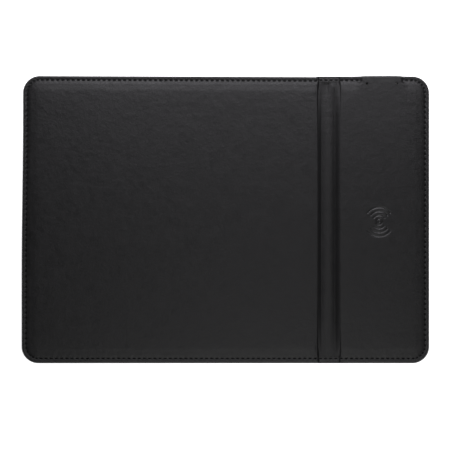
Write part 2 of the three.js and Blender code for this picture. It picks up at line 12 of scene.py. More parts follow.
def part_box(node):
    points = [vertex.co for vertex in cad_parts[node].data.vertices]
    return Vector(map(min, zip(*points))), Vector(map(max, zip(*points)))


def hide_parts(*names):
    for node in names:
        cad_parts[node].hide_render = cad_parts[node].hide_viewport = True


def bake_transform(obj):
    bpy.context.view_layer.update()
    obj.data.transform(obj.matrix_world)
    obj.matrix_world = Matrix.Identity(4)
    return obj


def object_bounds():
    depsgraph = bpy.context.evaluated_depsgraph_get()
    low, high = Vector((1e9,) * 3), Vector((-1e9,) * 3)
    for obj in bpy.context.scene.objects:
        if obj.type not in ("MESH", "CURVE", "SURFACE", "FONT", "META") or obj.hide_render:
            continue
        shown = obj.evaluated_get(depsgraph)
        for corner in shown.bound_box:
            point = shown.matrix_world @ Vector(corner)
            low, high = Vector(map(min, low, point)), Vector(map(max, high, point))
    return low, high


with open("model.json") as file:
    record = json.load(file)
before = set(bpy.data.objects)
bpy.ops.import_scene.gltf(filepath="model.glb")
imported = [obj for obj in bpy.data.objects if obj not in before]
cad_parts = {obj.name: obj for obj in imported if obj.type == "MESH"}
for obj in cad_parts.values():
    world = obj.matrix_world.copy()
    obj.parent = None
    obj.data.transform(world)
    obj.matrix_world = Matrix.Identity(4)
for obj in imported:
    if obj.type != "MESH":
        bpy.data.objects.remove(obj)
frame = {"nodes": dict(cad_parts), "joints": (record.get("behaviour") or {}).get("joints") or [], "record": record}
CAD_LOW, CAD_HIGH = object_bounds()
MM = 0.001


def node_box(node):
    low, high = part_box(node)
    return low / MM, high / MM


def node_centre(node):
    low, high = node_box(node)
    return (low.x + high.x) / 2, (low.y + high.y) / 2


# ---- Driving dimensions, in millimetres ----

HALF_WIDTH = CAD_HIGH.x / MM
HALF_DEPTH = CAD_HIGH.y / MM
TOP = CAD_HIGH.z / MM
CORNER_RADIUS = 13.0

HINGES = {joint["name"]: joint["pos_m"][0] / MM for joint in frame["joints"]}
LEFT_HINGE = HINGES["spine_fold"]
RIGHT_HINGE = HINGES["charging_panel_fold"]
# The two halves of each cover meet along the spine's crest, slightly left of its middle
CREST = (LEFT_HINGE + RIGHT_HINGE) / 2 - 0.5

SHEET_TOP = node_box("mouse_bottom_cover")[1].z
CORE_LOW, CORE_HIGH = node_box("mouse_foam_layer")
CORE_INSET = HALF_WIDTH + CORE_LOW.x
CHARGING_CORE_LEFT = node_box("charging_board")[0].x
STIFFENER_LOW, STIFFENER_HIGH = node_box("spine_stiffener")

HOUSING_LOW, HOUSING_HIGH = node_box("port_housing_tray")
HOUSING_X = node_centre("port_housing_tray")[0]
HUMP_HALF = (HOUSING_HIGH.x - HOUSING_LOW.x) / 2
SEAM_GAP_HALF = HUMP_HALF + 2.1
WINDOWS = [node_centre(f"light_pipe_{i}") for i in (1, 2)]
WINDOW_RADIUS = 0.9

STITCH_INSET = 3.35
STITCH_PITCH = 4.0
THREAD_RADIUS = 0.28
PIT_DEPTH = 0.9
PIT_HALF_LENGTH = 0.9
PIT_HALF_WIDTH = 0.46
# Rise of the leather between two pits, on the seam and just inside it, and of the lips beside a pit
SEAM_PUFF, INNER_PUFF = 0.14, 0.08
OUTER_LIP, INNER_LIP = 0.2, 0.1
BOTTOM_HOLE_DEPTH = 0.35

# The meshes start this far inside the outline, and the folded edge fills the rest
FIRST_INSET = 0.25
# Air between the leather and what lies below and beside it
GAP_BELOW = 0.04
GAP_BESIDE = 0.25


def smooth(t):
    t = np.clip(t, 0.0, 1.0)
    return t * t * (3.0 - 2.0 * t)


def soft_min(a, b, width):
    h = np.clip(0.5 + 0.5 * (b - a) / width, 0.0, 1.0)
    return b * (1 - h) + a * h - width * h * (1 - h)


def soft_max(a, b, width):
    return -soft_min(-a, -b, width)


def bump(value, width):
    return np.exp(-((value / width) ** 2))


# ---- The rim: inset from the outline, and place along it ----

# Centre of the arc at the back right corner
ARC_X = HALF_WIDTH - CORNER_RADIUS
ARC_Y = HALF_DEPTH - CORNER_RADIUS
SIDE_X = 2 * ARC_X
SIDE_Y = 2 * ARC_Y
QUARTER = CORNER_RADIUS * math.pi / 2
RIM_LENGTH = 2 * (SIDE_X + SIDE_Y) + 4 * QUARTER
# Where the straight sides start. The right side starts at 0, at its front end.
BACK_START = SIDE_Y + QUARTER
LEFT_START = BACK_START + SIDE_X + QUARTER
FRONT_START = LEFT_START + SIDE_Y + QUARTER


def rim_inset(x, y):
    """How far a point lies inside the outline."""
    qx = np.abs(x) - ARC_X
    qy = np.abs(y) - ARC_Y
    corner = np.hypot(np.maximum(qx, 0), np.maximum(qy, 0))
    return CORNER_RADIUS - corner - np.minimum(np.maximum(qx, qy), 0)


def rim_place(x, y):
    """Length along the outline, anticlockwise from the start of the right side."""
    in_corner = (np.abs(x) > ARC_X) & (np.abs(y) > ARC_Y)
    angle = np.arctan2(np.abs(y) - ARC_Y, np.abs(x) - ARC_X)
    along = np.where(x * y > 0, angle, math.pi / 2 - angle) * CORNER_RADIUS
    corner_start = np.select(
        [(x > 0) & (y > 0), (x <= 0) & (y > 0), (x <= 0) & (y <= 0)],
        [SIDE_Y, BACK_START + SIDE_X, LEFT_START + SIDE_Y],
        FRONT_START + SIDE_X,
    )
    near_side = HALF_WIDTH - np.abs(x) < HALF_DEPTH - np.abs(y)
    side = np.select(
        [near_side & (x > 0), ~near_side & (y > 0), near_side & (x <= 0)],
        [y + ARC_Y, BACK_START + ARC_X - x, LEFT_START + ARC_Y - y],
        FRONT_START + ARC_X + x,
    )
    return np.where(in_corner, corner_start + along, side)


def rim_point(place, inset):
    """The point at a place along the outline, moved inwards, and its inward direction."""
    place = place % RIM_LENGTH
    # Each span has its length, then a side's start and heading, or a corner's centre and its turn
    spans = [
        (SIDE_Y, (HALF_WIDTH, -ARC_Y), (0, 1)),
        (QUARTER, (ARC_X, ARC_Y), 0),
        (SIDE_X, (ARC_X, HALF_DEPTH), (-1, 0)),
        (QUARTER, (-ARC_X, ARC_Y), 1),
        (SIDE_Y, (-HALF_WIDTH, ARC_Y), (0, -1)),
        (QUARTER, (-ARC_X, -ARC_Y), 2),
        (SIDE_X, (-ARC_X, -HALF_DEPTH), (1, 0)),
        (QUARTER, (ARC_X, -ARC_Y), 3),
    ]
    for length, start, heading in spans:
        if place <= length:
            break
        place -= length
    if isinstance(heading, tuple):
        inward = (-heading[1], heading[0])
        x = start[0] + heading[0] * place + inward[0] * inset
        y = start[1] + heading[1] * place + inward[1] * inset
        return x, y, inward
    angle = heading * math.pi / 2 + place / CORNER_RADIUS
    inward = (-math.cos(angle), -math.sin(angle))
    radius = CORNER_RADIUS - inset
    return start[0] - inward[0] * radius, start[1] - inward[1] * radius, inward


# The seam runs anticlockwise from one side of the housing round the mat to the other
SEAM_START = BACK_START + ARC_X - HOUSING_X + SEAM_GAP_HALF
SEAM_LENGTH = RIM_LENGTH - 2 * SEAM_GAP_HALF
STITCHES = round(SEAM_LENGTH / STITCH_PITCH)
PITCH = SEAM_LENGTH / STITCHES


def stitch_phase(x, y):
    """Distance along the seam from its start, in stitches: above STITCHES in the seam's gap."""
    return ((rim_place(x, y) - SEAM_START) % RIM_LENGTH) / PITCH


# ---- The shape of the leather ----

# Inset and height of the padded border, from the outline in to the flat field
EDGE_PROFILE = [
    (0, 2.2), (0.15, 3.2), (0.4, 3.9), (0.8, 4.4), (1.3, 4.55), (1.9, 4.46), (2.5, 4.3),
    (3.0, 4.2), (3.4, 4.18), (3.8, 4.28), (4.3, 4.52), (4.9, 4.84), (5.5, 5.1), (6.1, 5.28),
    (6.8, 5.4), (7.6, 5.48), (8.5, 5.6), (9.5, 5.72), (10.5, 5.83), (12, 5.92), (17, 6.0),
]
PROFILE_SAMPLES = 400
SMOOTHING_REACH = 6

# Shares by which the border is shallower at the front and deeper at the back
FRONT_SOFTENING = 0.15
BACK_DEEPENING = 0.1
# The seam sits closer to the edge along the back
BACK_SEAM_SHIFT = 0.25


def edge_profile(inset):
    """Height of the padded border: rolled rim, stitched valley, pillow, board edge, field."""
    insets, heights = zip(*EDGE_PROFILE)
    fine = np.linspace(0, insets[-1], PROFILE_SAMPLES)
    height = np.interp(fine, insets, heights)
    kernel = bump(np.linspace(-1, 1, 2 * SMOOTHING_REACH + 1), 0.5)
    padded = np.pad(height, SMOOTHING_REACH, mode="edge")
    padded[:SMOOTHING_REACH] = 2 * height[0] - height[SMOOTHING_REACH:0:-1]
    height = np.convolve(padded, kernel / kernel.sum(), mode="valid")
    return np.interp(inset, fine, height)


def seam_inset(x, y):
    """Inset as the border's profile and the seam see it."""
    inset = rim_inset(x, y)
    back = smooth((y - ARC_Y) / 9)
    return inset + BACK_SEAM_SHIFT * back * smooth(inset / 2.2) * (1 - smooth((inset - 3.2) / 4))


def stitch_inset(place):
    """The actual inset of the seam at a place along the outline."""
    inset = STITCH_INSET
    for _ in range(6):
        x, y, _ = rim_point(place, inset)
        seen = seam_inset(np.array([x]), np.array([y]))[0]
        inset += 0.7 * (STITCH_INSET - seen)
    return inset


# Direction, wavelength and phase of each ripple, as shares of their ranges
RIPPLES = np.random.default_rng(7).uniform(0, 1, (40, 3))
SHORTEST_RIPPLE = 9.0
RIPPLE_RANGE = 34.0
RIPPLE_HEIGHT = 0.05


def ripples(x, y):
    """Gentle unevenness of leather glued over a board, about one unit high."""
    total = np.zeros_like(x)
    for turn, length, phase in RIPPLES:
        wave = 2 * math.pi / (SHORTEST_RIPPLE + RIPPLE_RANGE * length)
        direction = 2 * math.pi * turn
        along = x * math.cos(direction) + y * math.sin(direction)
        total += (0.3 + length) * np.sin(wave * along + 2 * math.pi * phase)
    return total / 5.0


CHANNEL_LEFT = LEFT_HINGE - 2.8
CHANNEL_RIGHT = RIGHT_HINGE + 3.6
VALLEY_Z = 2.1
VALLEY_SAG = 0.3
RIDGE_RISE = 1.7
RIDGE_HALF = 6.3
LEFT_WALL_WIDTH = 5.0
RIGHT_WALL_WIDTH = 6.0
# At the back and front seams the spine is pressed down to this height, with a crease at each side
SPINE_END_Z = 3.9
LEFT_CREASE, LEFT_CREASE_DEPTH = CHANNEL_LEFT + 0.9, 0.95
RIGHT_CREASE, RIGHT_CREASE_DEPTH = RIGHT_HINGE + 2.3, 0.7
CREASE_WIDTH = 0.5
# How fast the spine changes from its pressed ends to its full section
LEFT_RUN_OUT = 20.0
RIGHT_RUN_OUT = 11.0


def channel_height(x, inset):
    """Section of the spine: a steep left wall, a rounded ridge and a softer right wall."""
    down = smooth((x - CHANNEL_LEFT + 0.5) / LEFT_WALL_WIDTH)
    left_wall = TOP - (TOP - VALLEY_Z - VALLEY_SAG) * down
    roll = np.clip((x - RIGHT_HINGE + 2.4) / RIGHT_WALL_WIDTH, 0, 1)
    right_wall = VALLEY_Z + (TOP - VALLEY_Z) * np.sin(roll * math.pi / 2) ** 1.5
    walls = np.where(x < CREST, left_wall, right_wall)
    ridge = VALLEY_Z + RIDGE_RISE * (1 - ((x - CREST) / RIDGE_HALF) ** 2)
    middle = soft_max(np.maximum(ridge, VALLEY_Z - VALLEY_SAG), walls, 0.35)

    creases = LEFT_CREASE_DEPTH * bump(x - LEFT_CREASE, CREASE_WIDTH)
    creases += RIGHT_CREASE_DEPTH * bump(x - RIGHT_CREASE, CREASE_WIDTH)
    past_wall = np.minimum(x - CHANNEL_LEFT + 0.3, CHANNEL_RIGHT - 0.3 - x)
    end_walls = TOP - 0.5 - (TOP - VALLEY_Z) * smooth(past_wall / 2.2)
    end = soft_max(SPINE_END_Z - creases, end_walls, 0.3)

    run_out = np.where(x < CREST, LEFT_RUN_OUT, RIGHT_RUN_OUT)
    share = 1 - np.exp(-np.maximum(inset - 5.0, 0) / run_out)
    height = end * (1 - share) + middle * share
    in_channel = (x > CHANNEL_LEFT - 1) & (x < CHANNEL_RIGHT + 1)
    return np.where(in_channel, height, TOP + 1)


MARK_X, MARK_Y = node_centre("ferrite_shield")
ARC_RADII = (5.1, 8.15, 11.2)
ARC_HALF_ANGLE = math.radians(51)
RING_RADIUS = 2.15
MARK_LINE_HALF = 0.95
MARK_DEPTH = 0.46
MARK_REACH = 12.6


def mark_distance(x, y):
    """Distance to the lines of the wave mark: a ring with a dot, and three arcs above and below it."""
    dx = x - MARK_X
    dy = y - MARK_Y
    radius = np.hypot(dx, dy)
    away = np.abs(np.arctan2(dx, np.abs(dy)))
    distance = np.abs(radius - RING_RADIUS)
    distance = np.minimum(distance, radius)
    for arc in ARC_RADII:
        past_end = np.maximum(away - ARC_HALF_ANGLE, 0) * arc
        distance = np.minimum(distance, np.hypot(radius - arc, past_end))
    return distance


def mark_relief(x, y):
    """V-shaped grooves along the lines of the wave mark."""
    return -MARK_DEPTH * np.clip(1.05 - mark_distance(x, y) / MARK_LINE_HALF, 0, 1)


def hump_share(x, y):
    """1 over the electronics housing, where the leather stays at full height out to the edge.

    It fades over a short way at the edge and a longer way inside the seam.
    """
    spread = 2.0 + 5.0 * smooth((HALF_DEPTH - 3.6 - y) / 3.5)
    across = 1 - smooth((np.abs(x - HOUSING_X) - HUMP_HALF + 0.4) / spread)
    return across * smooth((y - HALF_DEPTH + 20) / 6)


def stitch_distances(x, y, inset):
    """Distances along and across the seam to the nearest stitch's middle, and where there is a seam."""
    phase = stitch_phase(x, y)
    along = np.abs(phase - np.floor(phase) - 0.5) * PITCH
    return along, inset - STITCH_INSET, (phase > 0) & (phase < STITCHES) & (inset < 8)


def stitch_relief(x, y, inset):
    """A pit that each stitch pulls into the leather, lips beside it, and puffed leather between pits."""
    along, across, on_seam = stitch_distances(x, y, inset)
    pit = PIT_DEPTH * np.exp(-((along / PIT_HALF_LENGTH) ** 4) - (across / PIT_HALF_WIDTH) ** 4)
    between = smooth((along - 0.7) / 0.8)
    puff = SEAM_PUFF * bump(across - 0.3, 0.8) + INNER_PUFF * bump(across - 1.8, 1.0)
    lips = OUTER_LIP * bump(across + 0.85, 0.45) + INNER_LIP * bump(across - 0.95, 0.5)
    return np.where(on_seam, between * puff + (1 - between) * lips - pit, 0.0)


# The edge over the housing isn't padded, only rounded
ROUNDED_DROP = 1.1
ROUNDED_WIDTH = 1.3
PUCKER_DEPTH = 0.45
DIMPLE_DEPTH = 0.85
SWELL_RISE = 0.65


def puckers(x, y):
    """Depth of the leather pulled in where the seam ends on each side of the housing."""
    depth = np.zeros_like(x)
    for side in (-1, 1):
        away_x = (x - HOUSING_X - side * (SEAM_GAP_HALF - 0.6)) / 1.2
        away_y = y - HALF_DEPTH + 4.4
        depth += PUCKER_DEPTH * bump(np.hypot(away_x, away_y), 1.0)
    return depth


def crumple(x, y, inset):
    """A swelling and a dimple where the spine meets the back seam."""
    fade = np.exp(-np.maximum(inset - 9, 0) / 9) * (y > 0)
    dimple = smooth((inset - 4.3) / 1.8) * bump(x - CREST + 1.3, 2.6)
    swell = smooth((inset - 4.6) / 4.0) * bump(x - CREST - 3.8, 2.1)
    return fade * (SWELL_RISE * swell - DIMPLE_DEPTH * dimple)


def leather_height(x, y):
    """Height of the grained face all over the mat."""
    inset = rim_inset(x, y)
    border = seam_inset(x, y)
    hump = hump_share(x, y)
    relief = 1 - FRONT_SOFTENING * smooth((-y - 60) / 40) + BACK_DEEPENING * smooth((y - 60) / 40)
    relief = 1 + (relief - 1) * smooth(inset / 1.2)
    padded = TOP - (TOP - edge_profile(border)) * relief
    rounded = TOP - ROUNDED_DROP * np.clip(1 - inset / ROUNDED_WIDTH, 0, 1) ** 2
    panel = padded * (1 - hump) + rounded * hump
    height = soft_min(panel, channel_height(x, inset), 0.3)
    height = height + mark_relief(x, y) + stitch_relief(x, y, border) * (1 - hump)
    height = height - puckers(x, y) + crumple(x, y, inset)
    field = smooth((inset - 3.0) / 6.0)
    return height + RIPPLE_HEIGHT * field * ripples(x, y)


# How far the outline strays from a rectangle
LEFT_LEAN = 1.15
BACK_LEAN = 0.8
FRONT_SHIFT = 0.35
HOUSING_BULGE = 0.25


def out_of_square(x, y):
    """A hand-made mat isn't quite a rectangle: its left side leans and its back edge isn't straight."""
    left = np.clip(-x / HALF_WIDTH, 0, 1)
    new_x = x + left * (LEFT_LEAN * smooth((y + 44) / 130) - 0.35)

    along_back = np.clip((x + 0.9 * HALF_WIDTH) / (0.9 * HALF_WIDTH + CHANNEL_LEFT), 0, 1)
    past_spine = smooth((x - CHANNEL_LEFT + 1) / 2)
    lean = (0.5 - BACK_LEAN * along_back) * (1 - past_spine) + 0.1 * past_spine
    near_housing = 1 - smooth((np.abs(x - HOUSING_X) - 6) / 18)
    bulge = HOUSING_BULGE * near_housing * smooth((y - HALF_DEPTH + 12) / 12)
    new_y = y + smooth(y / HALF_DEPTH) * lean + bulge

    at_rim = 1 - smooth((rim_inset(x, y) - 0.4) / 2.4)
    new_y -= FRONT_SHIFT * smooth(-y / HALF_DEPTH) * at_rim
    return new_x, new_y


def warped(vertices):
    """The vertices moved from the true rectangle to the mat's real outline."""
    x, y = out_of_square(vertices[:, 0], vertices[:, 1])
    return np.column_stack([x, y, vertices[:, 2]])


def inner_height(x, y):
    """The leather's lower face: on the bottom sheet at the border, and over the boards inside."""
    in_core = rim_inset(x, y) > CORE_INSET - GAP_BESIDE
    in_core &= (x < CORE_HIGH.x + GAP_BESIDE) | (x > CHARGING_CORE_LEFT - GAP_BESIDE)
    in_housing = (np.abs(x - HOUSING_X) < HUMP_HALF + GAP_BESIDE) & (y > HOUSING_LOW.y - GAP_BESIDE)
    in_stiffener = (
        (x > STIFFENER_LOW.x - GAP_BESIDE)
        & (x < STIFFENER_HIGH.x + GAP_BESIDE)
        & (np.abs(y) < STIFFENER_HIGH.y + GAP_BESIDE)
    )
    height = np.where(in_core | in_housing, CORE_HIGH.z, SHEET_TOP)
    return np.where(in_stiffener, STIFFENER_HIGH.z, height) + GAP_BELOW


# ---- Meshing ----


def offset_outline(inset, step):
    """Points along the outline moved inwards, with sharp corners past the corner radius."""
    radius = max(CORNER_RADIUS - inset, 0.0)
    half_x = HALF_WIDTH - inset - radius
    half_y = HALF_DEPTH - inset - radius
    points = []
    arc_steps = max(1, math.ceil(radius * math.pi / 2 / step))
    corners = [(half_x, half_y), (-half_x, half_y), (-half_x, -half_y), (half_x, -half_y)]
    for corner, (cx, cy) in enumerate(corners):
        for i in range(arc_steps + 1 if radius > 0 else 1):
            angle = (corner + i / arc_steps) * math.pi / 2
            points.append((cx + radius * math.cos(angle), cy + radius * math.sin(angle)))
        next_x, next_y = corners[(corner + 1) % 4]
        heading = (corner + 1) * math.pi / 2
        start = (cx + radius * math.cos(heading), cy + radius * math.sin(heading))
        end = (next_x + radius * math.cos(heading), next_y + radius * math.sin(heading))
        count = max(2, math.ceil(math.dist(start, end) / step))
        for i in range(1, count):
            points.append(
                (start[0] + (end[0] - start[0]) * i / count, start[1] + (end[1] - start[1]) * i / count)
            )
    return np.array(points)


# Insets of the rows of points along the outline, from the seam's pits in to the flat field
FINE_INSETS = [0.5, 0.8, 1.15, 1.6, 2.05, 2.45, 2.75, 3.0, 3.2, 3.35, 3.5, 3.7, 3.95, 4.25, 4.6, 5.0, 5.5]
MIDDLE_INSETS = [6.1, 6.8, 7.5, 8.2]
COARSE_INSETS = [9.0, 9.8, 10.6, 11.6, 12.8, 14.4, 16.2]
FINE_STEP = 0.5
MIDDLE_STEP = 0.9
COARSE_STEP = 1.7
FIELD_STEP = 2.6
MARK_STEP = 0.3
CHANNEL_LINES = np.arange(CHANNEL_LEFT - 0.8, CHANNEL_RIGHT + 0.8, 0.33)
SPLIT_MARGIN = 18.0


def grid_of(xs, ys):
    """Every pair of an x and a y, as rows of points."""
    return np.stack(np.meshgrid(xs, ys), -1).reshape(-1, 2)


def near_mark(points):
    return np.hypot(points[:, 0] - MARK_X, points[:, 1] - MARK_Y) < MARK_REACH


def field_points():
    """Points over the whole top at the spacing that each region needs."""
    sets = []
    rings = ((FINE_INSETS, FINE_STEP), (MIDDLE_INSETS, MIDDLE_STEP), (COARSE_INSETS, COARSE_STEP))
    for insets, step in rings:
        for inset in insets:
            row = offset_outline(inset, step)
            in_channel = (row[:, 0] > CHANNEL_LINES[0] - 0.2) & (row[:, 0] < CHANNEL_LINES[-1] + 0.2)
            sets.append(row[~in_channel])
            for side in (-1, 1):
                sets.append(grid_of(CHANNEL_LINES, [side * (HALF_DEPTH - inset)]))

    edge = COARSE_INSETS[-1] + 1.6
    xs = np.arange(-HALF_WIDTH + edge, HALF_WIDTH - edge + 0.1, FIELD_STEP)
    xs = xs[(xs < CHANNEL_LINES[0] - 1) | (xs > CHANNEL_LINES[-1] + 1)]
    ys = np.arange(-HALF_DEPTH + edge, HALF_DEPTH - edge + 0.1, FIELD_STEP)
    field = grid_of(np.concatenate([xs, CHANNEL_LINES]), ys)
    sets.append(field[~near_mark(field)])

    fine = np.arange(-MARK_REACH, MARK_REACH + 0.01, MARK_STEP)
    mark = grid_of(MARK_X + fine, MARK_Y + fine)
    sets.append(mark[near_mark(mark)])

    hump_x = np.arange(HOUSING_X - SEAM_GAP_HALF - 1.5, HOUSING_X + SEAM_GAP_HALF + 1.5, 0.45)
    hump_y = np.arange(HALF_DEPTH - 11, HALF_DEPTH - 5.6, 0.5)
    hump = grid_of(hump_x, hump_y)
    flanks = np.abs(np.abs(hump[:, 0] - HOUSING_X) - HUMP_HALF - 0.6) < 3
    sets.append(hump[flanks])
    return np.concatenate(sets)


def split_line(inset):
    """Places along Y at which the split between the two halves has points, front to back."""
    ends = [HALF_DEPTH - i for i in (*FINE_INSETS, *MIDDLE_INSETS, *COARSE_INSETS)]
    middle = np.arange(-HALF_DEPTH + SPLIT_MARGIN, HALF_DEPTH - SPLIT_MARGIN + 0.1, FIELD_STEP)
    ys = np.concatenate([[-e for e in ends], middle, ends])
    reach = HALF_DEPTH - inset
    return np.concatenate([[-reach], np.sort(ys[np.abs(ys) < reach - 0.1]), [reach]])


def boundary_loop(side, inset, step):
    """Closed outline of one half of the mat, anticlockwise: the left half is side -1, the right half 1."""
    row = offset_outline(inset, step)
    row = row[side * (row[:, 0] - CREST) > 0.15]
    turn = np.arctan2(row[:, 1], side * (row[:, 0] - CREST))
    row = row[np.argsort(side * turn)]
    ys = split_line(inset)[::-side]
    return np.concatenate([np.column_stack([np.full_like(ys, CREST), ys]), row])


def circle(x, y, radius, count):
    """Points round a circle, anticlockwise."""
    angles = np.linspace(0, 2 * math.pi, count, endpoint=False)
    return np.column_stack([x + radius * np.cos(angles), y + radius * np.sin(angles)])


def triangulate(loops, loose):
    """Triangles over the first loop, with the other loops left open. Loop points come first, in order."""
    points = np.concatenate([*loops, loose])
    edges = []
    start = 0
    for loop in loops:
        count = len(loop)
        edges += [(start + i, start + (i + 1) % count) for i in range(count)]
        start += count
    result = delaunay_2d_cdt([Vector(p) for p in points], edges, [], 1, 1e-6)
    verts = np.array([tuple(v) for v in result[0]])
    faces = result[2]
    order = np.full(len(verts), -1)
    for new, olds in enumerate(result[3]):
        if olds:
            order[new] = min(olds)
    if (order < 0).any() or len(verts) != len(points):
        raise RuntimeError("the points of a leather sheet run into each other")
    faces = np.array([[order[i] for i in face] for face in faces])
    a, b, c = (points[faces[:, i]] for i in range(3))
    area = (b[:, 0] - a[:, 0]) * (c[:, 1] - a[:, 1]) - (b[:, 1] - a[:, 1]) * (c[:, 0] - a[:, 0])
    faces[area < 0] = faces[area < 0][:, ::-1]
    middle = (a + b + c) / 3
    keep = np.ones(len(faces), bool)
    for hole in loops[1:]:
        centre = hole.mean(0)
        radius = np.hypot(*(hole[0] - centre))
        keep &= np.hypot(middle[:, 0] - centre[0], middle[:, 1] - centre[1]) > radius
    return points, faces[keep]


def inside_half(points, side, from_split, from_rim):
    """Points of one half that keep clear of its boundary."""
    keep = side * (points[:, 0] - CREST) > from_split
    keep &= rim_inset(points[:, 0], points[:, 1]) > FIRST_INSET + from_rim
    return points[keep]


def thinned(points, cell_size):
    """The points without those that share a cell with an earlier one."""
    cell = np.round(points / cell_size).astype(int)
    _, first = np.unique(cell, axis=0, return_index=True)
    return points[np.sort(first)]


def wall(first, second, count):
    """Faces between two closed rows of vertices, which start at the given indices."""
    following = [(i + 1) % count for i in range(count)]
    return [(first + i, second + i, second + j, first + j) for i, j in enumerate(following)]


def make_object(name, vertices, faces):
    """A smooth-shaded object from vertices in millimetres."""
    mesh = bpy.data.meshes.new(name)
    mesh.from_pydata((np.asarray(vertices) * MM).tolist(), [], [list(map(int, f)) for f in faces])
    mesh.validate()
    mesh.update()
    mesh.shade_smooth()
    piece = bpy.data.objects.new(name, mesh)
    bpy.context.scene.collection.objects.link(piece)
    return piece


def inset_direction(points):
    """Unit directions in which the inset grows fastest."""
    step = 1e-3
    x, y = points[:, 0], points[:, 1]
    gx = rim_inset(x + step, y) - rim_inset(x - step, y)
    gy = rim_inset(x, y + step) - rim_inset(x, y - step)
    direction = np.column_stack([gx, gy])
    return direction / np.maximum(np.linalg.norm(direction, axis=1), 1e-9)[:, None]


SKIRT_STEPS = 9


def skirt_rings(loop, upper, lower):
    """Rings from the leather's upper rim round the folded edge to its lower rim. The split stays flat."""
    on_rim = np.abs(loop[:, 0] - CREST) > 0.01
    reach = rim_inset(loop[:, 0], loop[:, 1]) * on_rim
    outward = -inset_direction(loop)
    rings = []
    for i in range(1, SKIRT_STEPS):
        angle = math.pi * i / SKIRT_STEPS
        out = outward * (reach * math.sin(angle))[:, None]
        fall = (1 - math.cos(angle)) / 2
        rings.append(np.column_stack([loop + out, upper + (lower - upper) * fall]))
    return rings


WINDOW_SIDES = 20


def leather_half(name, side):
    """One half of the top leather as a closed piece: grained face, folded edge and lower face."""
    loop = boundary_loop(side, FIRST_INSET, FINE_STEP)
    windows = []
    loose = thinned(inside_half(field_points(), side, 0.2, 0.15), 0.16)
    for x, y in WINDOWS if side > 0 else []:
        windows.append(circle(x, y, WINDOW_RADIUS, WINDOW_SIDES))
        away = np.hypot(loose[:, 0] - x, loose[:, 1] - y)
        around = circle(x, y, WINDOW_RADIUS + 0.35, WINDOW_SIDES)
        loose = np.concatenate([loose[away > WINDOW_RADIUS + 0.75], around])
    top_points, top_faces = triangulate([loop, *windows], loose)
    height = leather_height(top_points[:, 0], top_points[:, 1])
    low_points, low_faces = triangulate([loop, *windows], inner_points(side))
    low_height = inner_height(low_points[:, 0], low_points[:, 1])

    count = len(loop)
    rings = skirt_rings(loop, height[:count], low_height[:count])
    vertices = [np.column_stack([top_points, height]), *rings, np.column_stack([low_points, low_height])]
    starts = [0] + [len(top_points) + i * count for i in range(len(rings) + 1)]
    faces = [tuple(f) for f in top_faces]
    for first, second in zip(starts, starts[1:]):
        faces += wall(first, second, count)
    below = starts[-1]
    hole = count
    for window in windows:
        faces += wall(below + hole, hole, len(window))
        hole += len(window)
    faces += [tuple(below + f[::-1]) for f in low_faces]
    piece = make_object(name, warped(np.concatenate(vertices)), faces)
    piece.data.set_sharp_from_angle(angle=math.radians(75))
    return piece


STEP_HALF = 0.06


def both_sides(values):
    """Each value twice, a hair to either side of it."""
    return [v + d for v in values for d in (-STEP_HALF, STEP_HALF)]


def inner_points(side):
    """Points that give the leather's lower face its steps over the boards, the stiffener and the housing."""
    housing_x = [HOUSING_LOW.x - GAP_BESIDE, HOUSING_HIGH.x + GAP_BESIDE]
    levels_x = [
        -HALF_WIDTH + CORE_INSET - GAP_BESIDE,
        CORE_HIGH.x + GAP_BESIDE,
        STIFFENER_LOW.x - GAP_BESIDE,
        STIFFENER_HIGH.x + GAP_BESIDE,
        CHARGING_CORE_LEFT - GAP_BESIDE,
        *housing_x,
        HALF_WIDTH - CORE_INSET + GAP_BESIDE,
    ]
    levels_y = both_sides([HALF_DEPTH - CORE_INSET + GAP_BESIDE, STIFFENER_HIGH.y + GAP_BESIDE])
    xs = np.sort([*both_sides(levels_x), *np.arange(-150, 151, 15.0)])
    ys = np.sort([*levels_y, *(-y for y in levels_y), *np.arange(-98, 98, 14.0)])
    grid = grid_of(xs, ys)
    near_housing = (np.abs(grid[:, 0] - HOUSING_X) < HUMP_HALF + 3) & (grid[:, 1] > HOUSING_LOW.y)
    rows = np.arange(HOUSING_LOW.y, HALF_DEPTH - 0.6, 2.0)
    points = np.concatenate([grid[~near_housing], grid_of(both_sides(housing_x), rows)])
    return inside_half(points, side, 0.4, 0.6)


# ---- Thread ----


def tube_rings(path, radius, sides, up):
    """Rings of a round thread along a path, and the faces between them, closed at both ends."""
    path = np.asarray(path)
    tangent = np.gradient(path, axis=0)
    tangent /= np.linalg.norm(tangent, axis=1)[:, None]
    across = np.cross(up, tangent)
    across /= np.linalg.norm(across, axis=1)[:, None]
    over = np.cross(tangent, across)
    angles = np.linspace(0, 2 * math.pi, sides, endpoint=False)
    rings = [
        p + radius * (math.cos(a) * s + math.sin(a) * o)
        for p, s, o in zip(path, across, over)
        for a in angles
    ]
    faces = []
    for i in range(len(path) - 1):
        for j in range(sides):
            k = (j + 1) % sides
            faces.append((i * sides + j, i * sides + k, (i + 1) * sides + k, (i + 1) * sides + j))
    faces.append(tuple(range(sides - 1, -1, -1)))
    faces.append(tuple((len(path) - 1) * sides + j for j in range(sides)))
    return rings, faces


def thread_seat(place, line):
    """Height of the leather at the seam, without its pits."""
    x, y, _ = rim_point(place, line)
    x, y = np.array([x]), np.array([y])
    panel = edge_profile(seam_inset(x, y))
    return float(soft_min(panel, channel_height(x, rim_inset(x, y)), 0.3)[0])


NEEDLE_SINK = 0.42
NEEDLE_DIVE = 0.9
BOBBIN_DIVE = BOTTOM_HOLE_DEPTH + 0.2
BOBBIN_LIFT = THREAD_RADIUS + 0.01


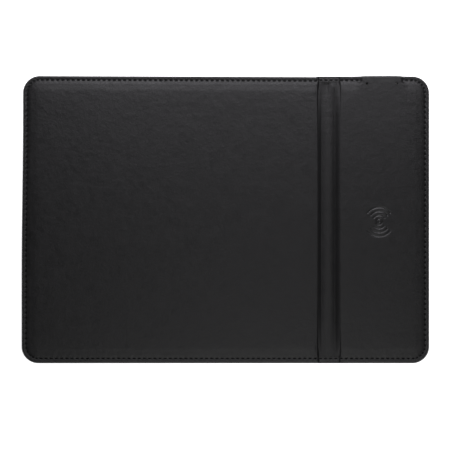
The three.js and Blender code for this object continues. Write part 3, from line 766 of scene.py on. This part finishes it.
def stitches(name, side, underside):
    """Every thread bridge of one half, each diving into the needle holes at its ends."""
    vertices, faces = [], []
    rng = np.random.default_rng(11 if underside else 5)
    for i in range(STITCHES):
        slant = rng.normal(0, 0.04)
        sag = rng.uniform(0.0, 0.06)
        start = SEAM_START + i * PITCH
        middle = start + PITCH / 2
        line = STITCH_INSET if underside else stitch_inset(middle)
        middle_x, _, _ = rim_point(middle, line)
        if side * (middle_x - CREST) < 0:
            continue
        seat = thread_seat(middle, line) - NEEDLE_SINK
        path = []
        for t in np.linspace(0.04, 0.96, 11):
            x, y, _ = rim_point(start + t * PITCH, line + slant * (2 * t - 1) * 2)
            to_end = abs(2 * t - 1)
            if underside:
                z = BOBBIN_LIFT + sag + BOBBIN_DIVE * to_end**5
            else:
                z = seat - sag - NEEDLE_DIVE * to_end**3
            path.append((x, y, z))
        rings, thread_faces = tube_rings(path, THREAD_RADIUS, 8, (0, 0, 1))
        faces += [tuple(len(vertices) + v for v in f) for f in thread_faces]
        vertices += [tuple(r) for r in rings]
    return make_object(name, warped(np.array(vertices)), faces)


# ---- Underside ----

UNDERSIDE_INSETS = (1.4, 2.3, 2.9, 3.35, 3.8, 4.4, 5.6)
UNDERSIDE_STEP = 6.0
GUTTER_END_INSETS = (0.9, 2, 3, 4, 5, 6)
GUTTER_LINES = np.arange(-2, 2.1, 0.4)


def underside_points():
    """Points over the whole bottom sheet, closer together along the seam and in the gutters."""
    rows = [offset_outline(i, 0.8) for i in UNDERSIDE_INSETS]
    ends = [s * (HALF_DEPTH - i) for s in (-1, 1) for i in GUTTER_END_INSETS]
    for hinge in (LEFT_HINGE, RIGHT_HINGE):
        rows.append(grid_of(hinge + GUTTER_LINES, ends))
    xs = np.arange(-HALF_WIDTH + 8, HALF_WIDTH - 7.9, UNDERSIDE_STEP)
    ys = np.arange(-HALF_DEPTH + 8, HALF_DEPTH - 7.9, UNDERSIDE_STEP)
    in_gutter = np.minimum(np.abs(xs - LEFT_HINGE), np.abs(xs - RIGHT_HINGE)) < 3
    xs = np.sort(np.concatenate([xs[~in_gutter], LEFT_HINGE + GUTTER_LINES, RIGHT_HINGE + GUTTER_LINES]))
    return np.concatenate([*rows, grid_of(xs, ys)])


def underside_half(name, side):
    """One half of the bottom sheet, with the bobbin side of the seam pressed into it."""
    loop = boundary_loop(side, 2 * FIRST_INSET, 1.0)
    loose = thinned(inside_half(underside_points(), side, 0.4, 0.6), 0.3)
    points, faces = triangulate([loop], loose)
    x, y = points[:, 0], points[:, 1]
    inset = rim_inset(x, y)
    phase = stitch_phase(x, y)
    along = np.abs(phase - np.round(phase)) * PITCH
    across = inset - STITCH_INSET
    seam = (phase > -0.2) & (phase < STITCHES + 0.2)
    holes = BOTTOM_HOLE_DEPTH * np.exp(-((along / 0.7) ** 2) - (across / 0.6) ** 2)
    groove = 0.2 * bump(across, 0.7) + holes
    edge = 0.25 * np.clip(1 - (inset - FIRST_INSET) / 1.2, 0, 1) ** 2
    bottom = np.where(seam, groove, 0) + edge
    total = len(points)
    upper = np.column_stack([points, np.full(total, SHEET_TOP)])
    lower = np.column_stack([points, bottom])
    all_faces = [tuple(f) for f in faces] + [tuple(total + f[::-1]) for f in faces]
    all_faces += wall(0, total, len(loop))
    return make_object(name, warped(np.concatenate([upper, lower])), all_faces)


# ---- Materials ----


class Nodes:
    """Builds one material's node tree."""

    def __init__(self, name):
        self.material = bpy.data.materials.new(name)
        self.material.use_nodes = True
        self.tree = self.material.node_tree
        self.shader = self.tree.nodes["Principled BSDF"]
        self.coordinates = self.add("ShaderNodeTexCoord").outputs["Object"]

    def add(self, kind, **settings):
        node = self.tree.nodes.new(kind)
        for key, value in settings.items():
            setattr(node, key, value)
        return node

    def link(self, output, target):
        self.tree.links.new(output, target)

    def set(self, **values):
        for key, value in values.items():
            self.shader.inputs[key.replace("_", " ")].default_value = value

    def noise(self, scale, detail=3.0, roughness=0.5, stretch=None):
        node = self.add("ShaderNodeTexNoise")
        node.inputs["Scale"].default_value = scale
        node.inputs["Detail"].default_value = detail
        node.inputs["Roughness"].default_value = roughness
        source = self.coordinates
        if stretch:
            mapping = self.add("ShaderNodeMapping")
            mapping.inputs["Scale"].default_value = stretch
            self.link(source, mapping.inputs["Vector"])
            source = mapping.outputs["Vector"]
        self.link(source, node.inputs["Vector"])
        return node.outputs["Fac"]

    def cells(self, scale, warp, warp_size):
        """Distance to the nearest edge between cells, whose outlines are warped."""
        shift = self.add("ShaderNodeVectorMath", operation="SCALE")
        shift.inputs["Scale"].default_value = warp_size
        self.link(warp, shift.inputs[0])
        moved = self.add("ShaderNodeVectorMath", operation="ADD")
        self.link(self.coordinates, moved.inputs[0])
        self.link(shift.outputs[0], moved.inputs[1])
        node = self.add("ShaderNodeTexVoronoi", feature="DISTANCE_TO_EDGE")
        node.inputs["Scale"].default_value = scale
        self.link(moved.outputs[0], node.inputs["Vector"])
        return node.outputs["Distance"]

    def attribute(self, name):
        return self.add("ShaderNodeAttribute", attribute_name=name).outputs["Fac"]

    def remap(self, value, low, high, new_low, new_high):
        node = self.add("ShaderNodeMapRange")
        for key, number in (("From Min", low), ("From Max", high), ("To Min", new_low), ("To Max", new_high)):
            node.inputs[key].default_value = number
        self.link(value, node.inputs["Value"])
        return node.outputs["Result"]

    def math(self, operation, a, b):
        node = self.add("ShaderNodeMath", operation=operation)
        for i, value in enumerate((a, b)):
            if isinstance(value, (int, float)):
                node.inputs[i].default_value = value
            else:
                self.link(value, node.inputs[i])
        return node.outputs[0]

    def mix(self, factor, a, b):
        node = self.add("ShaderNodeMix", data_type="RGBA")
        self.link(factor, node.inputs["Factor"])
        for key, value in (("A", a), ("B", b)):
            socket = [s for s in node.inputs if s.name == key and s.type == "RGBA"][0]
            if isinstance(value, tuple):
                socket.default_value = (*value, 1.0)
            else:
                self.link(value, socket)
        return [s for s in node.outputs if s.type == "RGBA"][0]

    def bump(self, height, strength, distance, below=None):
        node = self.add("ShaderNodeBump")
        if isinstance(strength, float):
            node.inputs["Strength"].default_value = strength
        else:
            self.link(strength, node.inputs["Strength"])
        node.inputs["Distance"].default_value = distance
        self.link(height, node.inputs["Height"])
        if below is not None:
            self.link(below, node.inputs["Normal"])
        return node.outputs["Normal"]

    def color(self, value):
        self.link(value, self.shader.inputs["Base Color"])

    def rough(self, value):
        self.link(value, self.shader.inputs["Roughness"])

    def normal(self, value):
        self.link(value, self.shader.inputs["Normal"])


def leather_material():
    """Matt black leather: clouded, pebbled and wrinkled, polished where rubbed or pressed. Its colour carries
    painted shade in hollows and painted highlights, partly real rubbing, on lit edges.
    """
    n = Nodes("black_pu_leather")
    cloud = n.noise(110, 4, 0.6)
    fine_cloud = n.noise(260, 4, 0.55)
    rubbed_and_lit = n.attribute("wear_and_highlight")
    recess_shade = n.attribute("recess_shade")
    pressed = n.attribute("pressed")

    base = n.mix(n.remap(cloud, 0.3, 0.7, 0, 1), (0.0045, 0.0045, 0.0047), (0.0058, 0.0057, 0.0059))
    base = n.mix(n.remap(fine_cloud, 0.35, 0.75, 0, 0.5), base, (0.0075, 0.0074, 0.0076))
    # Lighter where the leather is rubbed and where painted highlights sit: the rim, the board's shoulder, beside
    # the seam and along the mark's lines.
    base = n.mix(n.remap(rubbed_and_lit, 0, 1, 0, 0.5), base, (0.011, 0.011, 0.0113))
    # Painted shade: the colour turns near black in the spine's gutters, the seam's pits, the outermost edge, the
    # mark's grooves and round the windows.
    n.color(n.mix(recess_shade, base, (0.0015, 0.0015, 0.0016)))
    n.set(Specular_IOR_Level=0.26)

    clouded = n.remap(cloud, 0.25, 0.75, 0.45, 0.53)
    rough = n.math("ADD", clouded, n.remap(fine_cloud, 0.3, 0.7, -0.05, 0.05))
    creased = n.math("SUBTRACT", rough, n.remap(recess_shade, 0, 1, 0, 0.17))
    polish = n.math("ADD", n.remap(rubbed_and_lit, 0, 1, 0, 0.08), n.remap(pressed, 0, 1, 0, 0.1))
    n.rough(n.math("SUBTRACT", creased, polish))

    warp = n.add("ShaderNodeTexNoise")
    warp.inputs["Scale"].default_value = 700
    n.link(n.coordinates, warp.inputs["Vector"])
    pebble = n.remap(n.cells(1300, warp.outputs["Color"], 0.0006), 0, 0.25, 0, 1)
    pores = n.noise(5200, 2, 0.6)
    wrinkle = n.noise(180, 6, 0.6)
    wrinkled = n.bump(wrinkle, n.remap(pressed, 0, 1, 0.37, 0.12), 0.0011)
    pebbled = n.bump(pebble, 0.3, 0.00014, wrinkled)
    n.normal(n.bump(pores, 0.2, 0.00006, pebbled))
    return n.material


def thread_material():
    """Twisted polyester thread with a little fuzz."""
    n = Nodes("black_thread")
    twist = n.add("ShaderNodeTexWave", wave_type="BANDS", bands_direction="DIAGONAL")
    twist.inputs["Scale"].default_value = 900
    n.link(n.coordinates, twist.inputs["Vector"])
    fuzz = n.noise(3000, 3, 0.6)
    n.color(n.mix(fuzz, (0.002, 0.002, 0.0022), (0.005, 0.005, 0.0055)))
    n.rough(n.remap(fuzz, 0.2, 0.8, 0.55, 0.75))
    n.set(Specular_IOR_Level=0.2)
    n.normal(n.bump(twist.outputs["Fac"], 0.6, 0.00012))
    return n.material


def suede_material():
    """Brushed non-slip sheet."""
    n = Nodes("non_slip_suede")
    cloud = n.noise(45, 4, 0.6)
    nap = n.noise(2600, 4, 0.7, (1.0, 0.45, 1.0))
    base = n.mix(cloud, (0.012, 0.012, 0.013), (0.021, 0.021, 0.023))
    n.color(n.mix(n.remap(nap, 0.3, 0.8, 0, 0.6), base, (0.034, 0.034, 0.036)))
    n.rough(n.remap(nap, 0.2, 0.8, 0.8, 0.95))
    n.normal(n.bump(nap, 0.5, 0.0003))
    n.set(Sheen_Weight=0.25, Sheen_Roughness=0.5)
    return n.material


def plain_material(name, dark, light, rough, grain=2200, depth=0.00006):
    """Two close tones, a roughness that varies, and a fine surface texture."""
    n = Nodes(name)
    cloud = n.noise(400, 4, 0.6)
    fine = n.noise(grain, 3, 0.6)
    n.color(n.mix(n.remap(cloud, 0.3, 0.7, 0, 1), dark, light))
    n.rough(n.remap(fine, 0.25, 0.75, rough - 0.07, rough + 0.07))
    n.normal(n.bump(fine, 0.35, depth))
    return n.material


def coil_material():
    """Enamelled copper with the sheen of wound wire."""
    n = Nodes("enamelled_copper")
    strand = n.noise(1500, 3, 0.6)
    n.color(n.mix(strand, (0.42, 0.13, 0.045), (0.62, 0.24, 0.09)))
    n.rough(n.remap(strand, 0.2, 0.8, 0.22, 0.42))
    n.normal(n.bump(strand, 0.3, 0.00008))
    n.set(Metallic=0.9, Coat_Weight=0.5, Coat_Roughness=0.15)
    return n.material


def brushed_material(name, dark, light):
    """Plated metal with a fine directional brushing."""
    n = Nodes(name)
    brushed = n.noise(900, 4, 0.6, (1.0, 14.0, 1.0))
    n.color(n.mix(brushed, dark, light))
    n.rough(n.remap(brushed, 0.2, 0.8, 0.24, 0.4))
    n.normal(n.bump(brushed, 0.2, 0.00004))
    n.set(Metallic=1.0)
    return n.material


MATERIALS = {
    "cover_leather": leather_material(),
    "thread": thread_material(),
    "underside_suede": suede_material(),
    "foam": plain_material("grey_foam", (0.09, 0.09, 0.1), (0.14, 0.14, 0.15), 0.9, 1500, 0.0002),
    "fibreboard": plain_material("fibreboard", (0.2, 0.13, 0.07), (0.34, 0.24, 0.15), 0.85, 900, 0.0002),
    "housing_plastic": plain_material(
        "spark_textured_plastic", (0.009, 0.009, 0.01), (0.014, 0.014, 0.015), 0.5
    ),
    "circuit_laminate": plain_material("green_solder_mask", (0.01, 0.09, 0.035), (0.02, 0.13, 0.05), 0.35),
    "enamelled_copper": coil_material(),
    "ferrite": plain_material("sintered_ferrite", (0.035, 0.035, 0.037), (0.06, 0.06, 0.062), 0.7),
    "plated_steel": brushed_material("nickel_plated_steel", (0.5, 0.5, 0.5), (0.66, 0.65, 0.63)),
    "gold_contact": brushed_material("gold_plated_contact", (0.75, 0.5, 0.17), (0.9, 0.65, 0.28)),
    "chip_epoxy": plain_material("moulded_epoxy", (0.012, 0.012, 0.013), (0.02, 0.02, 0.021), 0.6),
    "chip_ceramic": plain_material("ceramic_chip", (0.3, 0.19, 0.11), (0.42, 0.29, 0.18), 0.45),
    "led_package": plain_material("led_package", (0.75, 0.73, 0.62), (0.85, 0.83, 0.75), 0.35),
    "smoked_light_pipe": plain_material(
        "smoked_light_pipe", (0.001, 0.001, 0.0012), (0.002, 0.002, 0.0024), 0.14
    ),
}


def dress(piece, slot):
    """Gives a remade piece the material of its slot."""
    piece.data.materials.clear()
    piece.data.materials.append(MATERIALS[slot])


def dress_cad_nodes():
    """Gives every CAD node the material of its slot."""
    for part in frame["record"]["subparts"]:
        node = frame["nodes"][part["node"]]
        node.data.materials.clear()
        node.data.materials.append(MATERIALS[part["material_slot"]])


def add_highlight_shade_and_press_masks(piece):
    """Vertex attributes: where the leather is lighter from rubbing and painted highlight, where it lies in a
    hollow and takes painted shade, where it is pressed.
    """
    count = len(piece.data.vertices)
    co = np.zeros(count * 3, np.float32)
    piece.data.vertices.foreach_get("co", co)
    x, y, _ = co.reshape(-1, 3).T / MM
    border = seam_inset(x, y)
    along, across, on_seam = stitch_distances(x, y, border)
    pits = on_seam * np.exp(-((along / 1.05) ** 4) - (across / 0.5) ** 4)
    to_mark = mark_distance(x, y)

    # Painted highlight, partly real rubbing: lighter on the rolled rim except along the back, on the board's
    # shoulder, between the seam's pits and along both sides of the mark's lines.
    rim = bump(border - 1.6, 1.1) * (1 - 0.9 * smooth((y - 80) / 20))
    shoulder = 0.3 * bump(border - 9.8, 1.0)
    seam = 0.7 * bump(across, 0.9) * (1 - pits)
    wear_and_highlight = rim + shoulder + seam + bump(to_mark - 0.75, 0.3)

    # Painted shade: darker in the spine's gutters, in the seam's pits, at the outermost edge, in the mark's
    # grooves and round the windows.
    valleys = 0.25 * bump(x - LEFT_HINGE - 1.0, 2.6) + 0.6 * bump(x - RIGHT_HINGE + 1.8, 2.4)
    run_out = np.where(x < CREST, 40, 18)
    valleys *= 1 - np.exp(-np.maximum(border - 8, 0) / run_out)
    outermost = 1 - smooth(border / 0.5)
    grooves = 0.55 * bump(to_mark, 0.35)
    recess_shade = np.maximum.reduce([pits, valleys, outermost, grooves])
    for window_x, window_y in WINDOWS:
        away = np.hypot(x - window_x, y - window_y)
        recess_shade = np.maximum(recess_shade, bump(away, WINDOW_RADIUS + 0.1))

    pressed = 1 - smooth((to_mark - MARK_LINE_HALF) / 0.3)
    for name, values in (("wear_and_highlight", wear_and_highlight), ("recess_shade", recess_shade), ("pressed", pressed)):
        attribute = piece.data.attributes.new(name, "FLOAT", "POINT")
        attribute.data.foreach_set("value", np.clip(values, 0, 1).astype(np.float32))


# ---- Studio ----

# The camera looks straight down from CAMERA_HEIGHT metres. Its picture is FRAME_WIDTH millimetres wide
# at WIDEST_Z, where the outline is widest, and is centred on CAMERA_AIM.
FRAME_WIDTH = 348.3
WIDEST_Z = 2.0
CAMERA_HEIGHT = 1.6
CAMERA_AIM = (-0.45, -4.1)
FLOOR_HALF = 5000.0

COOL = (0.99, 0.97, 1.03)
WHITE = (1.0, 1.0, 1.0)
# Name, place in metres, size in metres, power in watts, colour. Each light faces the origin.
LIGHTS = [
    ("back_key", (0.0, 0.75, 0.75), (0.5, 0.3), 2.5, COOL),
    ("back_near_left", (-0.08, 0.22, 0.16), (0.2, 0.2), 0.52, COOL),
    ("back_near_right", (0.12, 0.22, 0.16), (0.2, 0.2), 0.52, COOL),
    ("front_near", (0.03, -0.25, 0.16), (0.4, 0.2), 0.38, WHITE),
    ("front_high", (0.06, -0.2, 0.5), (0.3, 0.2), 0.5, WHITE),
    ("right_low", (0.6, 0.0, 0.3), (0.4, 0.3), 0.2, WHITE),
    ("left_low", (-0.6, 0.0, 0.25), (0.4, 0.3), 0.12, WHITE),
]


def add_camera():
    data = bpy.data.cameras.new("camera")
    data.sensor_width = 36.0
    data.lens = data.sensor_width * (CAMERA_HEIGHT / MM - WIDEST_Z) / FRAME_WIDTH
    data.clip_end = 20.0
    camera = bpy.data.objects.new("camera", data)
    camera.location = (CAMERA_AIM[0] * MM, CAMERA_AIM[1] * MM, CAMERA_HEIGHT)
    bpy.context.scene.collection.objects.link(camera)
    bpy.context.scene.camera = camera


def add_light(name, place, size, power, color):
    data = bpy.data.lights.new(name, "AREA")
    data.shape = "RECTANGLE"
    data.size, data.size_y = size
    data.energy = power
    data.color = color
    light = bpy.data.objects.new(name, data)
    light.location = place
    light.rotation_euler = (-Vector(place)).to_track_quat("-Z", "Y").to_euler()
    light.visible_camera = False
    bpy.context.scene.collection.objects.link(light)


def add_studio():
    add_camera()
    for light in LIGHTS:
        add_light(*light)
    world = bpy.data.worlds.new("pale_room")
    world.use_nodes = True
    background = world.node_tree.nodes["Background"]
    background.inputs["Color"].default_value = (1.0, 1.0, 1.0, 1.0)
    background.inputs["Strength"].default_value = 0.08
    bpy.context.scene.world = world
    bpy.context.scene.view_settings.view_transform = "Standard"


def add_floor():
    corners = [(x * FLOOR_HALF, y * FLOOR_HALF, 0) for x, y in ((-1, -1), (1, -1), (1, 1), (-1, 1))]
    floor = make_object("floor", corners, [(0, 1, 2, 3)])
    n = Nodes("studio_floor")
    soft = n.noise(3, 2)
    n.color(n.mix(soft, (0.93, 0.93, 0.93), (0.95, 0.95, 0.95)))
    n.rough(n.remap(soft, 0, 1, 0.9, 0.95))
    n.set(Specular_IOR_Level=0.1, Emission_Color=(1.0, 1.0, 1.0, 1.0), Emission_Strength=0.75)
    floor.data.materials.append(n.material)


# ---- Assembly ----

HALVES = {
    "left": (-1, ("mouse_panel", "spine"), LEFT_HINGE),
    "right": (1, ("spine", "charging_panel"), RIGHT_HINGE),
}


def bend_over(piece):
    """Bakes the piece's placement into its mesh."""
    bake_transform(piece)


LEFT_TOP_NODES = ["mouse_top_cover", "left_gutter_leather", "spine_top_cover"]
RIGHT_TOP_NODES = ["charging_top_cover", "right_gutter_leather"]
LEFT_BOTTOM_NODES = ["mouse_bottom_cover", "spine_bottom_cover"]
RIGHT_BOTTOM_NODES = ["charging_bottom_cover"]


def nodes_named(ending, words):
    """CAD nodes whose name has one of the words and the ending."""
    return [n for n in frame["nodes"] if n.endswith(ending) and any(w in n for w in words)]


def add_covers():
    for half, (side, _, _) in HALVES.items():
        left = side < 0
        top = leather_half(f"top_leather_{half}", side)
        add_highlight_shade_and_press_masks(top)
        dress(top, "cover_leather")
        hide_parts(*(LEFT_TOP_NODES if left else RIGHT_TOP_NODES))
        bend_over(top)

        bottom = underside_half(f"underside_{half}", side)
        dress(bottom, "underside_suede")
        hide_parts(*(LEFT_BOTTOM_NODES if left else RIGHT_BOTTOM_NODES))
        bend_over(bottom)

        words = ("mouse", "spine") if left else ("charging",)
        needle = stitches(f"needle_stitches_{half}", side, False)
        dress(needle, "thread")
        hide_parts(*nodes_named("needle_thread", words))
        bend_over(needle)

        bobbin = stitches(f"bobbin_stitches_{half}", side, True)
        dress(bobbin, "thread")
        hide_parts(*nodes_named("bobbin_thread", words))
        bend_over(bobbin)


add_studio()
add_floor()
dress_cad_nodes()
add_covers()
